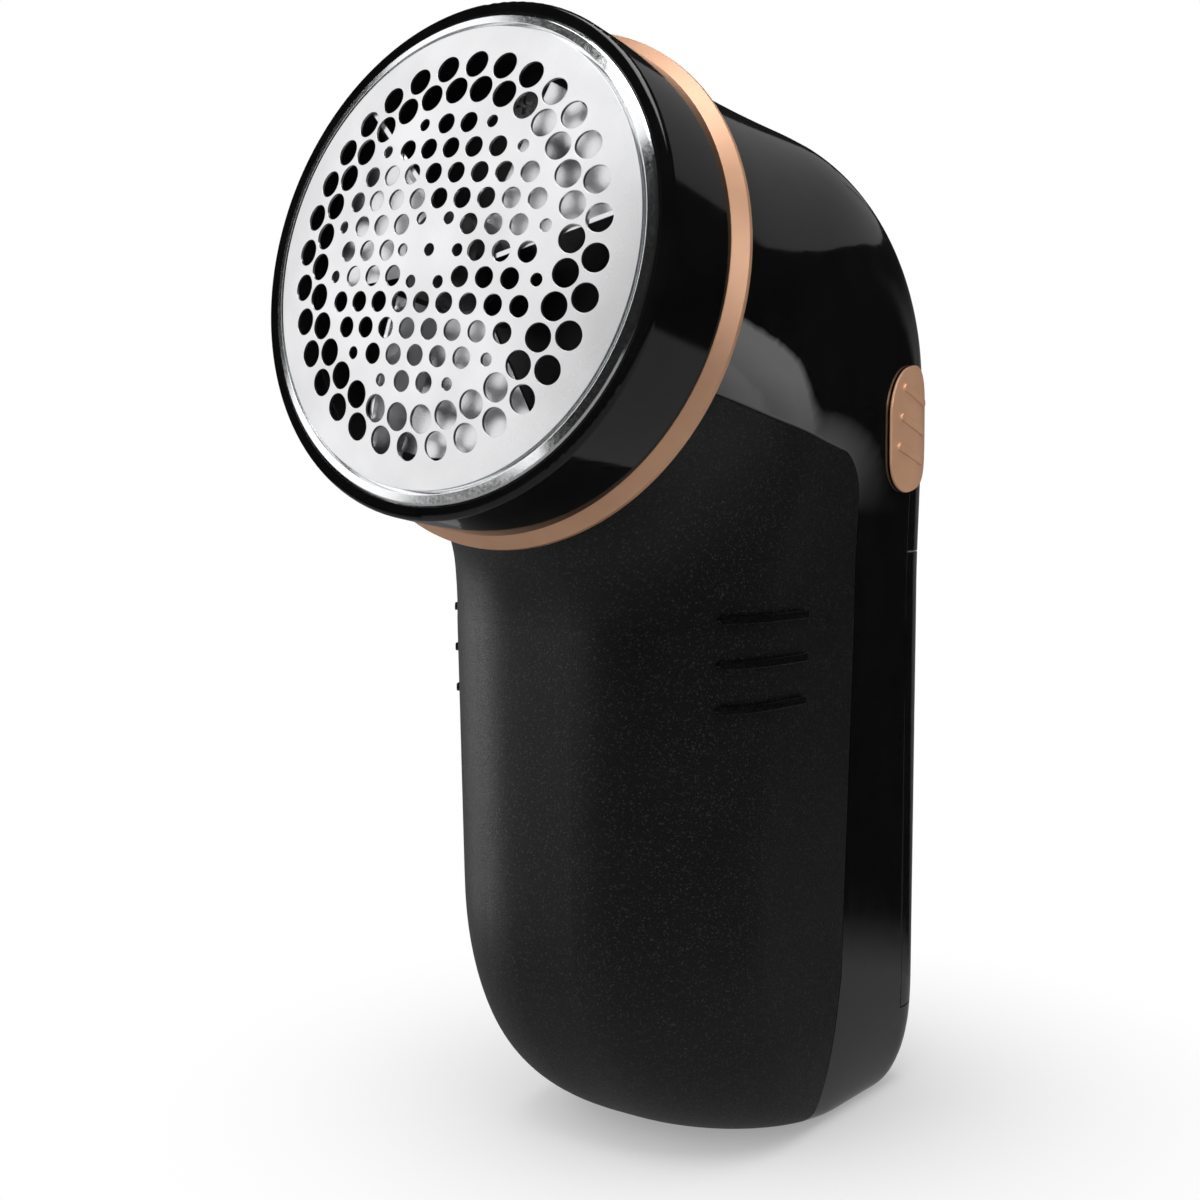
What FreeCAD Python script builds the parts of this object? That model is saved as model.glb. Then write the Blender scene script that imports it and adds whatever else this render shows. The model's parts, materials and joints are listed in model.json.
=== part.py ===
import FreeCAD, Part
import math
import os

# Fabric shaver, battery powered, hand held. Millimetres.
# +Z up, the shaving head looks towards -Y and slightly up, X = 0 is the plane of symmetry.
# The origin is the middle of the flat underside that the shaver stands on.

V = FreeCAD.Vector

# ---- shaving head (head frame: local Z points out of the foil, r is the radius) ----
HEAD_Y = -58.0            # centre of the foil's outer hole ring
HEAD_Z = 107.5
HEAD_TILT = 9.65          # degrees that the head looks up
FOIL_R = 25.55            # outer edge of the perforated foil
FOIL_THICK = 0.3
DOME_RISE = 2.08          # foil centre stands this far in front of the outer hole ring
HOLE_RING_R = 21.0        # outer ring of holes
INNER_HOLE_RING_R = 18.05
RING_HOLE_COUNT = 32
HOLE_R_LARGE = 1.53
HOLE_R_MEDIUM = 1.16
HOLE_R_SMALL = 0.71
HOLE_PITCH = 3.266        # pitch of the triangular grid of holes in the middle
HOLE_GRID_TURN = -5.0     # degrees that the grid is turned about the head's axis
GRID_LIMIT_MEDIUM = 14.5  # medium holes lie inside this radius
GRID_LIMIT_SMALL = 15.3   # and small ones between the two
DOME_R = (HOLE_RING_R ** 2 + DOME_RISE ** 2) / (2 * DOME_RISE)

BAND_R = 27.1             # bright band that carries the foil
BAND_INNER_R = 24.7
BAND_GROOVE_R = (25.45, 25.95)    # groove between the foil's edge and the band's rim
BAND_GROOVE_DEPTH = 1.2
BAND_RIM_DROP = 0.35      # the rim's outer edge stands this far behind its inner edge
BAND_EDGE = 0.2           # rounding of the rim's outer edge
BAND_FLANGE_R = 27.5      # flange that the collar's lip holds
BAND_FLANGE_FRONT = -3.6
BAND_BACK = -5.2
COLLAR_R = 28.7
COLLAR_FRONT = -1.7
COLLAR_EDGE = 0.6         # rounding of the collar's front edge
COLLAR_BACK = -12.65
COLLAR_LIP_R = 27.2
COLLAR_LIP_BACK = -3.5
COLLAR_INNER_R = 27.6
COLLAR_LUG_R = 26.85
TRIM_R = 30.05            # coloured trim ring between the collar and the neck
TRIM_FRONT = -12.75
TRIM_WIDEST = -14.2
TRIM_BACK = -15.4
TRIM_INNER_R = 26.45
CHAMBER_R = (24.6, 26.2)  # wall of the cup behind the foil
CHAMBER_FRONT = -5.5
CHAMBER_FLOOR = (-14.0, -12.0)
CHAMBER_LUG_R = 26.7

# ---- outer body ----
NECK_START = 15.5         # neck begins this far behind the outer hole ring
NECK_R = 28.6
NECK_SLOPE = 8.0          # degrees that the top of the neck falls towards the back
SHOULDER_R = 30.0
ELBOW_END_Z = 65.5        # below this level the handle is a plain column
CHIN_BULGE = 0.3          # the curve under the neck turns this far in front of the handle
CHIN_DROP = 4.5           # and this far below the neck's first section
BACK_Y = 17.8             # back of the handle at the elbow
BACK_BASE_Y = 18.6        # and at the base
FRONT_Y = -40.6
HALF_WIDTH_TOP = 22.4
HALF_WIDTH_BASE = 20.4
FRONT_CORNER = (17.2, 15.5)   # front corner of the handle's section, along X and Y
BACK_CORNER = 8.0             # back corner at the elbow
BACK_CORNER_BASE = 4.2        # and at the base
BASE_SIDE = (3.5, 15.0)       # rounding under the sides, along X and Z
BASE_FRONT = (27.8, 32.4)     # rounding under the front, along Y and Z
BASE_BACK = (5.0, 10.5)       # rounding under the back, along Y and Z

WALL = 1.8
CONTAINER_WALL = 1.6
GAP = 0.15                # gap between neighbouring mouldings

# ---- part lines, seen from the side ----
SEAM_Y = -5.9             # back of the lint container
SEAM_CORNER_R = 7.5
SEAM_TOP_BELOW_AXIS = 12.6    # the container's top edge runs parallel to the head's axis
SEAM_LEAN_Z = 20.0        # below this level the container's back leans forward, square to the head's axis
REAR_LINE_DEPTH = 9.0     # the rear cover and the top of the door are this deep
REAR_LINE_BASE_Y = 12.4   # side edge of the door at the level of the base
REAR_COVER_END = 78.0     # degrees round the shoulder where the rear cover ends
DOOR_TOP_Z = 74.1
DOOR_BOTTOM_Z = 11.5
DOOR_HINGE = (17.55, 12.4)    # (y, z) of the door's hinge line, in the middle of its wall

# ---- grip ribs and switch ----
RIB_Y = (-33.6, -18.0)
RIB_Z = 67.4
RIB_PITCH = 5.2
RIB_COUNT = 3
RIB_THICK = 0.95
RIB_PROUD = 0.45
KNOB_Z = (82.0, 98.4)     # the knob in its upper position
KNOB_FACING = 8.0         # degrees from +X towards +Y
KNOB_ACROSS = 3.2         # centre of the knob, measured across its facing direction
KNOB_LEAN = 12.0          # degrees that the knob's top leans to the front
KNOB_WIDTH = 11.4
KNOB_CORNER_R = 5.2
KNOB_UNDER = 0.15         # clearance between the knob and the casing
KNOB_PROUD = 0.45

# ---- drive ----
MOTOR_R = 10.0            # round sides of the flat-sided can
MOTOR_HEIGHT = 15.1
MOTOR_FRONT = -17.7
MOTOR_LENGTH = 25.0
SHAFT_R = 1.0
BEARING_R = 2.0
MOTOR_SCREW_X = 7.0       # the two motor screws stand this far from the axis
HUB_HOLE_R = 3.2          # hole in the bulkhead round the drive hub
CELL_R = 7.2
CELL_LENGTH = 49.3
CELL_X = 7.5
CELL_Y = 6.2
CELL_BASE_Z = 13.5


# ---------------------------------------------------------------- helpers

def save(name, shape):
    shape.exportStep("parts/" + name + ".step")


def head_placement():
    turn = FreeCAD.Rotation(V(1, 0, 0), 90.0 - HEAD_TILT)
    return FreeCAD.Placement(V(0, HEAD_Y, HEAD_Z), turn)


def to_head(shape):
    """Moves a shape from the head frame to the shaver's frame."""
    placed = shape.copy()
    placed.Placement = head_placement().multiply(placed.Placement)
    return placed


def head_point(x, y, z):
    return head_placement().multVec(V(x, y, z))


def ring(profile):
    """Turns a closed (r, z) outline about local Z."""
    points = [V(r, 0, z) for r, z in profile]
    face = Part.Face(Part.makePolygon(points + points[:1]))
    return face.revolve(V(0, 0, 0), V(0, 0, 1), 360)


def tube(outer, inner, low, high):
    return ring([(inner, low), (outer, low), (outer, high), (inner, high)])


def disc(radius, low, high, x=0.0, y=0.0):
    return Part.makeCylinder(radius, high - low, V(x, y, low))


def box(x0, x1, y0, y1, z0, z1):
    return Part.makeBox(x1 - x0, y1 - y0, z1 - z0, V(x0, y0, z0))


def group(shapes):
    return Part.makeCompound(shapes)


def blend(a, b, t):
    return a + (b - a) * t


def ease(t):
    t = min(max(t, 0.0), 1.0)
    return t * t * (3 - 2 * t)


def sharpen(points, closed):
    """Moves spline poles outwards so that the smooth skin runs through the points."""
    count = len(points)
    moved = []
    for k, point in enumerate(points):
        if not closed and k in (0, count - 1):
            moved.append(point)
            continue
        neighbours = points[k - 1] + points[(k + 1) % count]
        moved.append(point * (4.0 / 3.0) - neighbours * (1.0 / 6.0))
    return moved


def skin_solid(rows):
    """Smooth solid through closed flat rows of points, flat at both ends."""
    around = len(rows[0])
    along = len(rows)
    rows = [sharpen(row, True) for row in rows]
    columns = [sharpen(list(column), False) for column in zip(*rows)]
    skin = Part.BSplineSurface()
    skin.buildFromPolesMultsKnots(
        [list(row) for row in zip(*columns)],
        [4] + [1] * (along - 4) + [4],
        [1] * (around + 1),
        [float(k) for k in range(along - 2)],
        [float(k) for k in range(around + 1)],
        False, True, 3, 3)
    face = skin.toShape()
    ends = [Part.Face(Part.Wire([edge])) for edge in face.Edges
            if edge.isClosed() and not edge.isSeam(face)]
    solid = Part.Solid(Part.Shell([face] + ends))
    solid.fix(1e-5, 1e-5, 1e-3)
    return solid


def ellipse_inset(height, along, rise):
    """How far a rounded lower edge is pulled in at a height above the base."""
    t = min(max((rise - height) / rise, 0.0), 1.0)
    return along * (1 - math.sqrt(max(0.0, 1 - t * t)))


# ---------------------------------------------------------------- outer body

SECTION_POINTS = 34       # poles on half a section
ELBOW_ROWS = 22
COLUMN_ROWS = 22


def half_section(width, depth, front, back):
    """Even points from the front centre to the back centre of a rounded section."""
    outline = []
    steps = 40
    for k in range(steps):
        outline.append((blend(0, width - front[0], k / steps), 0.0))
    for k in range(steps):
        a = math.pi / 2 * k / steps
        outline.append((width - front[0] + front[0] * math.sin(a), front[1] - front[1] * math.cos(a)))
    for k in range(steps):
        outline.append((width, blend(front[1], depth - back[1], k / steps)))
    for k in range(steps):
        a = math.pi / 2 * k / steps
        outline.append((width - back[0] + back[0] * math.cos(a), depth - back[1] + back[1] * math.sin(a)))
    for k in range(steps + 1):
        outline.append((blend(width - back[0], 0, k / steps), depth))
    lengths = [0.0]
    for a, b in zip(outline[:-1], outline[1:]):
        lengths.append(lengths[-1] + math.hypot(b[0] - a[0], b[1] - a[1]))
    points = []
    at = 0
    for k in range(SECTION_POINTS):
        # half a step in from each end, so that the mirrored halves join evenly
        want = lengths[-1] * (k + 0.5) / SECTION_POINTS
        while lengths[at + 1] < want:
            at += 1
        t = (want - lengths[at]) / (lengths[at + 1] - lengths[at])
        points.append((blend(outline[at][0], outline[at + 1][0], t),
                       blend(outline[at][1], outline[at + 1][1], t)))
    return points


def corner(size, width, depth, inset):
    """Size of a corner along X and Y, grown with a skin that is moved outwards."""
    grow = max(0.0, -inset)
    return min(size[0] + grow, width), min(size[1] + grow, depth / 2)


def section_row(start, end, width, front, back):
    """Poles of one section that runs from start to end, both (y, z), mirrored in X."""
    depth = math.hypot(end[0] - start[0], end[1] - start[1])
    along = ((end[0] - start[0]) / depth, (end[1] - start[1]) / depth)
    half = half_section(width, depth, front, back)
    row = [V(x, start[0] + along[0] * s, start[1] + along[1] * s) for x, s in half]
    return row + [V(-p.x, p.y, p.z) for p in reversed(row)]


def shoulder_centre():
    """Centre of the shoulder's arc, (y, z)."""
    top = neck_end(0.0, 1)
    slope = math.radians(NECK_SLOPE)
    y = BACK_Y - SHOULDER_R
    along = (y + SHOULDER_R * math.sin(slope) - top[0]) / math.cos(slope)
    return y, top[1] - along * math.sin(slope) - SHOULDER_R * math.cos(slope)


def neck_end(inset, side):
    """Top (side 1) or bottom (side -1) of the neck's first section, (y, z)."""
    tilt = math.radians(HEAD_TILT)
    w = NECK_START + inset
    r = side * (NECK_R - inset)
    return (HEAD_Y + w * math.cos(tilt) + r * math.sin(tilt),
            HEAD_Z - w * math.sin(tilt) + r * math.cos(tilt))


def outer_profile(inset, t):
    """Point at t = 0..1 along the top of the neck, the shoulder and the back."""
    slope = math.radians(NECK_SLOPE)
    start = neck_end(inset, 1)
    centre = shoulder_centre()
    radius = SHOULDER_R - inset
    arc_start = (centre[0] + radius * math.sin(slope), centre[1] + radius * math.cos(slope))
    line = math.hypot(arc_start[0] - start[0], arc_start[1] - start[1])
    arc = radius * (math.pi / 2 - slope)
    drop = centre[1] - ELBOW_END_Z
    at = t * (line + arc + drop)
    if at < line:
        return (blend(start[0], arc_start[0], at / line), blend(start[1], arc_start[1], at / line))
    if at < line + arc:
        a = math.pi / 2 - slope - (at - line) / radius
        return (centre[0] + radius * math.cos(a), centre[1] + radius * math.sin(a))
    return (BACK_Y - inset, centre[1] - (at - line - arc))


def inner_profile(inset, t):
    """Point at t = 0..1 from under the neck's start to the front of the handle."""
    start = neck_end(inset, -1)
    knee = (FRONT_Y + inset - CHIN_BULGE, start[1] - CHIN_DROP)
    end = (FRONT_Y + inset, ELBOW_END_Z)
    return tuple((1 - t) ** 2 * a + 2 * t * (1 - t) * b + t * t * c
                 for a, b, c in zip(start, knee, end))


def elbow_row(inset, t):
    start = inner_profile(inset, t)
    end = outer_profile(inset, t)
    depth = math.hypot(end[0] - start[0], end[1] - start[1])
    front_square = ease(t ** 1.3)
    back_square = ease((t - 0.055) / 0.82)
    width = blend(NECK_R, HALF_WIDTH_TOP, ease(1.04 * t)) - inset
    front = (blend(width, FRONT_CORNER[0], front_square), blend(depth / 2, FRONT_CORNER[1], front_square))
    back = (blend(width, BACK_CORNER, back_square), blend(depth / 2, BACK_CORNER, back_square))
    front = corner(front, width, depth, inset)
    back = corner(back, width, depth, inset)
    return section_row(start, end, width, front, back)


def column_row(inset, t):
    """Level section at t = 0..1 from the elbow down to the base."""
    height = (ELBOW_END_Z - inset) * (1 - math.sin(math.pi / 2 * t))
    share = height / ELBOW_END_Z
    width = (blend(HALF_WIDTH_BASE, HALF_WIDTH_TOP, share) - inset
             - ellipse_inset(height, BASE_SIDE[0], BASE_SIDE[1]))
    front_y = FRONT_Y + inset + ellipse_inset(height, BASE_FRONT[0], BASE_FRONT[1])
    back_y = (blend(BACK_BASE_Y, BACK_Y, share) - inset
              - ellipse_inset(height, BASE_BACK[0], BASE_BACK[1]))
    depth = back_y - front_y
    front = corner(FRONT_CORNER, width, depth, inset)
    back_size = blend(BACK_CORNER_BASE, BACK_CORNER, share)
    back = corner((back_size, back_size), width, depth, inset)
    z = inset + height
    return section_row((front_y, z), (back_y, z), width, front, back)


def body_solid(inset):
    """The whole body, neck to base, with its skin moved in by inset (out if negative)."""
    rows = [elbow_row(inset, k / ELBOW_ROWS) for k in range(ELBOW_ROWS + 1)]
    rows += [column_row(inset, k / COLUMN_ROWS) for k in range(1, COLUMN_ROWS + 1)]
    return skin_solid(rows)


# ---------------------------------------------------------------- part lines

FAR = 60.0


def side_prism(edges):
    """A prism along X whose side view is the closed outline made by edges."""
    face = Part.Face(Part.Wire(edges))
    return face.extrude(V(2 * FAR, 0, 0))


def side_point(y, z):
    return V(-FAR, y, z)


def side_line(a, b):
    return Part.makeLine(side_point(*a), side_point(*b))


def side_arc(centre, radius, start, end):
    """Arc in the side view, angles in degrees from +Y towards +Z."""
    points = []
    for a in (start, (start + end) / 2, end):
        angle = math.radians(a)
        points.append(side_point(centre[0] + radius * math.cos(angle),
                                 centre[1] + radius * math.sin(angle)))
    return Part.Arc(*points).toShape()


def container_region(grow):
    """Space in front of and below the container's part line, moved out by grow."""
    slope = math.tan(math.radians(HEAD_TILT))
    lift = grow / math.cos(math.radians(HEAD_TILT))
    back = SEAM_Y + grow
    radius = SEAM_CORNER_R + grow

    def top(y):
        return HEAD_Z - SEAM_TOP_BELOW_AXIS + lift - (y - HEAD_Y) * slope

    # the corner's centre is one radius from the sloping edge and from the back
    centre_y = back - radius
    centre = (centre_y, top(centre_y) - radius / math.cos(math.radians(HEAD_TILT)))
    facing = 90.0 - HEAD_TILT
    arc_top = (centre[0] + radius * math.cos(math.radians(facing)),
               centre[1] + radius * math.sin(math.radians(facing)))
    arc_low = (back, centre[1])
    front = HEAD_Y - FAR
    low_back = (back - (SEAM_LEAN_Z + FAR) * slope, -FAR)
    corners = [arc_low, (back, SEAM_LEAN_Z), low_back, (front, -FAR), (front, top(front)), arc_top]
    edges = [side_arc(centre, radius, facing, 0.0)]
    edges += [side_line(a, b) for a, b in zip(corners[:-1], corners[1:])]
    return side_prism(edges)


def rear_line(z, grow):
    """Side edge of the rear cover and the door at a level."""
    y = BACK_Y - REAR_LINE_DEPTH
    return blend(REAR_LINE_BASE_Y, y, min(z / ELBOW_END_Z, 1.0)) - grow


def rear_cover_region(grow):
    """Space behind the side walls, from the shoulder down to the battery door."""
    centre = shoulder_centre()
    radius = SHOULDER_R - REAR_LINE_DEPTH - grow
    spread = grow / radius
    angle = math.radians(REAR_COVER_END) + spread
    low = DOOR_TOP_Z + GAP / 2 - grow
    line_y = rear_line(low, grow)
    tip = (centre[0] + radius * math.cos(angle), centre[1] + radius * math.sin(angle))
    far_tip = (centre[0] + 2 * FAR * math.cos(angle), centre[1] + 2 * FAR * math.sin(angle))
    corners = [(line_y, centre[1]), (line_y, low), (2 * FAR, low), (2 * FAR, far_tip[1]), far_tip, tip]
    edges = [side_arc(centre, radius, math.degrees(angle), 0.0)]
    edges += [side_line(a, b) for a, b in zip(corners[:-1], corners[1:])]
    return side_prism(edges)


def door_region(grow):
    low = DOOR_BOTTOM_Z - grow
    high = DOOR_TOP_Z + grow - GAP / 2
    knee = (rear_line(ELBOW_END_Z, grow), ELBOW_END_Z)
    corners = [(rear_line(low, grow), low), knee, (rear_line(high, grow), high),
               (2 * FAR, high), (2 * FAR, low)]
    return side_prism([side_line(a, b) for a, b in zip(corners, corners[1:] + corners[:1])])


# ---------------------------------------------------------------- casing

WINDOW = (-11.0, 11.0, -21.5, -14.2)   # lint window, head frame
SCREW_ANGLES = (40, 90, 140)           # chamber screws
CHAMBER_SCREW_R = 20.5
SCREW_R = 1.0
SCREW_HOLE_R = 1.05
WINDOW_LIMIT_R = 24.0                  # the window stays inside this circle
SLOT_X = (15.0, 30.0)                  # slot for the switch knob's stem
SLOT_Y = (4.6, 7.6)
SLOT_Z = (84.2, 93.0)


def polar(radius, degrees):
    return radius * math.cos(math.radians(degrees)), radius * math.sin(math.radians(degrees))


def lint_window(low, high):
    window = box(WINDOW[0], WINDOW[1], WINDOW[2], WINDOW[3], low, high)
    return window.common(disc(WINDOW_LIMIT_R, low, high))


def main_housing(outer, inner):
    shape = outer.cut(container_region(GAP))
    shape = shape.cut(inner.cut(container_region(GAP + WALL)))
    shape = shape.cut(rear_cover_region(GAP))
    shape = shape.cut(door_region(GAP))
    low, high = -NECK_START - 3.0, -NECK_START + 1.0
    openings = [disc(HUB_HOLE_R, low, high)]
    screws = [(-MOTOR_SCREW_X, 0.0), (MOTOR_SCREW_X, 0.0)]
    screws += [polar(CHAMBER_SCREW_R, angle) for angle in SCREW_ANGLES]
    openings += [disc(SCREW_HOLE_R, low, high, x, y) for x, y in screws]
    shape = shape.cut([to_head(opening) for opening in openings])
    return shape.cut(box(*SLOT_X, *SLOT_Y, *SLOT_Z))


def rear_cover(outer, inner):
    return outer.cut(inner).common(rear_cover_region(0.0))


def door_lower_edge():
    """What is cut off the door below its hinge, so that its lower edge turns in place."""
    y, z = DOOR_HINGE
    corner = box(-FAR, FAR, y, 2 * FAR, DOOR_BOTTOM_Z - 1.0, z)
    return corner.cut(Part.makeCylinder(WALL / 2, 2 * FAR, V(-FAR, y, z), V(1, 0, 0)))


DOOR_RIB_X = 9.0
DOOR_RIB_THICK = 1.2
DOOR_RIB_Z = (20.0, 42.0, 64.0)        # stiffening ribs inside the door
DOOR_GRIP_Z = 62.0                     # lowest of the finger grooves
DOOR_GRIP_PITCH = 2.0
DOOR_GRIP_COUNT = 4
DOOR_GRIP_WIDTH = 0.7
DOOR_GRIP_DEPTH = 0.35


def battery_door(outer, inner):
    panel = outer.cut(inner).common(door_region(0.0)).cut(door_lower_edge())
    inside = BACK_Y - WALL
    bonded = BACK_Y - WALL / 2
    ribs = [box(-DOOR_RIB_X, DOOR_RIB_X, inside - 1.0, bonded, z, z + DOOR_RIB_THICK) for z in DOOR_RIB_Z]
    tongue = box(-6.0, 6.0, inside - 1.2, bonded, DOOR_TOP_Z - 4.0, DOOR_TOP_Z - 0.3)
    door = panel.fuse(ribs + [tongue])
    levels = [DOOR_GRIP_Z + DOOR_GRIP_PITCH * k for k in range(DOOR_GRIP_COUNT)]
    grip = [box(-5.0, 5.0, BACK_Y - DOOR_GRIP_DEPTH, BACK_Y + 2.0, z, z + DOOR_GRIP_WIDTH) for z in levels]
    return door.cut(grip).removeSplitter()


def lint_container(outer):
    hollow = body_solid(CONTAINER_WALL).common(container_region(-CONTAINER_WALL))
    cup = outer.common(container_region(0.0)).cut(hollow)
    return cup.cut(to_head(lint_window(-NECK_START - 3, -NECK_START + 1)))


def grip_ribs(outer):
    skin = body_solid(-RIB_PROUD).cut(outer)
    bars = []
    for k in range(RIB_COUNT):
        z = RIB_Z - k * RIB_PITCH
        half = RIB_THICK / 2
        front, back = RIB_Y[0] + half, RIB_Y[1] - half
        bar = box(-FAR, FAR, front, back, z - half, z + half)
        ends = [Part.makeCylinder(half, 2 * FAR, V(-FAR, y, z), V(1, 0, 0)) for y in (front, back)]
        bars.append(bar.fuse(ends).removeSplitter())
    pieces = []
    for bar in bars:
        pieces += skin.common(bar).Solids
    return group(pieces)


# ---------------------------------------------------------------- head

def dome_z(radius, depth=0.0):
    """Height of the foil's front, or of a shell depth behind it, at a radius."""
    ball = DOME_R - depth
    return DOME_RISE - DOME_R + math.sqrt(ball ** 2 - radius ** 2)


def dome_cap(radius, depth, floor):
    """Solid below a shell of the dome, down to a flat floor."""
    top = Part.Arc(V(0, 0, dome_z(0, depth)), V(radius / 2, 0, dome_z(radius / 2, depth)),
                   V(radius, 0, dome_z(radius, depth))).toShape()
    side = Part.makeLine(V(radius, 0, dome_z(radius, depth)), V(radius, 0, floor))
    base = Part.makeLine(V(radius, 0, floor), V(0, 0, floor))
    axis = Part.makeLine(V(0, 0, floor), V(0, 0, dome_z(0, depth)))
    return Part.Face(Part.Wire([top, side, base, axis])).revolve(V(0, 0, 0), V(0, 0, 1), 360)


def foil_holes():
    """(radius, x, y) of every hole: two rings round a triangular grid."""
    holes = []
    step = 360.0 / RING_HOLE_COUNT
    for k in range(RING_HOLE_COUNT):
        holes.append((HOLE_R_LARGE,) + polar(HOLE_RING_R, step * k + step / 2))
        holes.append((HOLE_R_LARGE,) + polar(INNER_HOLE_RING_R, step * k))
    turn = math.radians(HOLE_GRID_TURN)
    reach = 6
    for row in range(-reach, reach + 1):
        for column in range(-reach, reach + 1):
            x = HOLE_PITCH * (column + row / 2)
            y = HOLE_PITCH * row * math.sqrt(3) / 2
            r = math.hypot(x, y)
            if r < 0.1 or r > GRID_LIMIT_SMALL:
                size = HOLE_R_SMALL if r < 0.1 else None
            elif r < HOLE_PITCH * 1.1:
                size = HOLE_R_SMALL
                x *= 1.22
                y *= 1.22
            else:
                size = HOLE_R_MEDIUM if r < GRID_LIMIT_MEDIUM else HOLE_R_SMALL
            if size:
                holes.append((size, x * math.cos(turn) - y * math.sin(turn),
                              x * math.sin(turn) + y * math.cos(turn)))
    return holes


def mesh_foil():
    floor = -9.0
    sheet = dome_cap(FOIL_R, 0.0, floor).cut(dome_cap(FOIL_R + 1.0, FOIL_THICK, floor - 1.0))
    pins = [disc(r, floor, DOME_RISE + 1.0, x, y) for r, x, y in foil_holes()]
    return to_head(sheet.cut(pins))


def foil_band():
    inner, outer = BAND_GROOVE_R
    rim = dome_z(outer)
    shelf = dome_z(inner, FOIL_THICK)
    edge = rim - BAND_RIM_DROP
    profile = [(BAND_INNER_R, BAND_BACK), (BAND_FLANGE_R, BAND_BACK), (BAND_FLANGE_R, BAND_FLANGE_FRONT),
               (BAND_R, BAND_FLANGE_FRONT), (BAND_R, edge - BAND_EDGE), (BAND_R - BAND_EDGE, edge),
               (outer, rim), (outer, rim - BAND_GROOVE_DEPTH), (inner, rim - BAND_GROOVE_DEPTH),
               (inner, shelf), (BAND_INNER_R, dome_z(BAND_INNER_R, FOIL_THICK))]
    return to_head(ring(profile))


def lugs(inner, outer, low, high, count=3, span=22.0, turn=0.0):
    """Evenly spaced arc-shaped lugs."""
    pieces = []
    for k in range(count):
        block = Part.makeCylinder(outer, high - low, V(0, 0, low), V(0, 0, 1), span)
        block = block.cut(disc(inner, low - 1, high + 1))
        block.rotate(V(0, 0, 0), V(0, 0, 1), 360.0 / count * k + turn - span / 2)
        pieces.append(block)
    return pieces


def head_collar():
    edge = COLLAR_EDGE
    start = V(COLLAR_R - edge, 0, COLLAR_FRONT)
    middle = V(COLLAR_R - edge * (1 - math.sqrt(0.5)), 0, COLLAR_FRONT - edge * (1 - math.sqrt(0.5)))
    end = V(COLLAR_R, 0, COLLAR_FRONT - edge)
    corners = [end, V(COLLAR_R, 0, COLLAR_BACK), V(COLLAR_INNER_R, 0, COLLAR_BACK),
               V(COLLAR_INNER_R, 0, COLLAR_LIP_BACK), V(COLLAR_LIP_R, 0, COLLAR_LIP_BACK),
               V(COLLAR_LIP_R, 0, COLLAR_FRONT), start]
    edges = [Part.Arc(start, middle, end).toShape()]
    edges += [Part.makeLine(a, b) for a, b in zip(corners[:-1], corners[1:])]
    collar = Part.Face(Part.Wire(edges)).revolve(V(0, 0, 0), V(0, 0, 1), 360)
    inside = lugs(COLLAR_LUG_R, COLLAR_INNER_R + 0.2, -11.0, -9.6)
    return to_head(collar.fuse(inside).removeSplitter())


def trim_ring():
    return to_head(ring([(TRIM_INNER_R, TRIM_FRONT), (COLLAR_R - 0.05, TRIM_FRONT),
                         (TRIM_R, TRIM_WIDEST), (TRIM_R, TRIM_WIDEST - 0.5),
                         (TRIM_R - 0.5, TRIM_BACK), (TRIM_INNER_R, TRIM_BACK)]))


def blade_chamber():
    inner, outer = CHAMBER_R
    low, high = CHAMBER_FLOOR
    wall = tube(outer, inner, TRIM_BACK, CHAMBER_FRONT)
    floor = disc(inner + 0.2, low, high)
    bore = HUB_HOLE_R + 0.1
    boss = tube(bore + 1.7, bore, high - 0.2, high + 0.6)
    cup = wall.fuse([floor, boss] + lugs(outer - 0.2, CHAMBER_LUG_R, -8.6, -7.2)).removeSplitter()
    openings = [disc(bore, low - 1.0, high + 1.0), lint_window(low - 1.0, high + 1.0)]
    for angle in SCREW_ANGLES:
        openings.append(disc(SCREW_HOLE_R, low - 1.0, high + 1.0, *polar(CHAMBER_SCREW_R, angle)))
    return to_head(cup.cut(openings))


def chute_seal():
    low, high = -NECK_START + 0.05, CHAMBER_FLOOR[0] - 0.05
    border = 1.6
    frame = box(WINDOW[0] - border, WINDOW[1] + border, WINDOW[2] - border, WINDOW[3] + border, low, high)
    inside = disc(CHAMBER_R[0] - 0.2, low, high)
    return to_head(frame.common(inside).cut(lint_window(low - 1, high + 1)))


def screw(radius, head_r, head_top, head_height, tip, x=0.0, y=0.0):
    """Pan-head screw along local Z with a cross recess, its head at the front."""
    body = disc(head_r, head_top - head_height, head_top, x, y)
    body = body.fuse(disc(radius, tip, head_top - head_height + 0.1, x, y))
    arm = head_r * 0.6
    slot = 0.18
    for dx, dy in ((arm, slot), (slot, arm)):
        body = body.cut(box(x - dx, x + dx, y - dy, y + dy, head_top - 0.5, head_top + 1))
    return body.removeSplitter()


def chamber_screws():
    places = [polar(CHAMBER_SCREW_R, angle) for angle in SCREW_ANGLES]
    head_height = CHAMBER_FLOOR[1] + 1.25
    return to_head(group([screw(SCREW_R, 1.9, head_height, 1.25, -18.8, x, y) for x, y in places]))


# ---------------------------------------------------------------- cutter

BLADE_GAP = 0.12
PLATE_Z = (-4.4, -3.9)
BLADE_COUNT = 3
BLADE_REACH = 22.6
BLADE_SPAN = 52.0         # degrees of the plate that carries a blade
BLADE_LEAN = 28.0
BLADE_THICK = 0.5
PLATE_R = 21.5
CUTTER_R = 5.6            # collar of the hub behind the blades
SPIGOT_R = 3.6            # spigot of the hub that the blades and the cap sit on
CAP_R = 5.2
HUB_R = 2.4               # drive hub, with a flat on one side
HUB_FLAT = 1.7
FIT = 0.05                # clearance between parts that slide on one another


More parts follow.
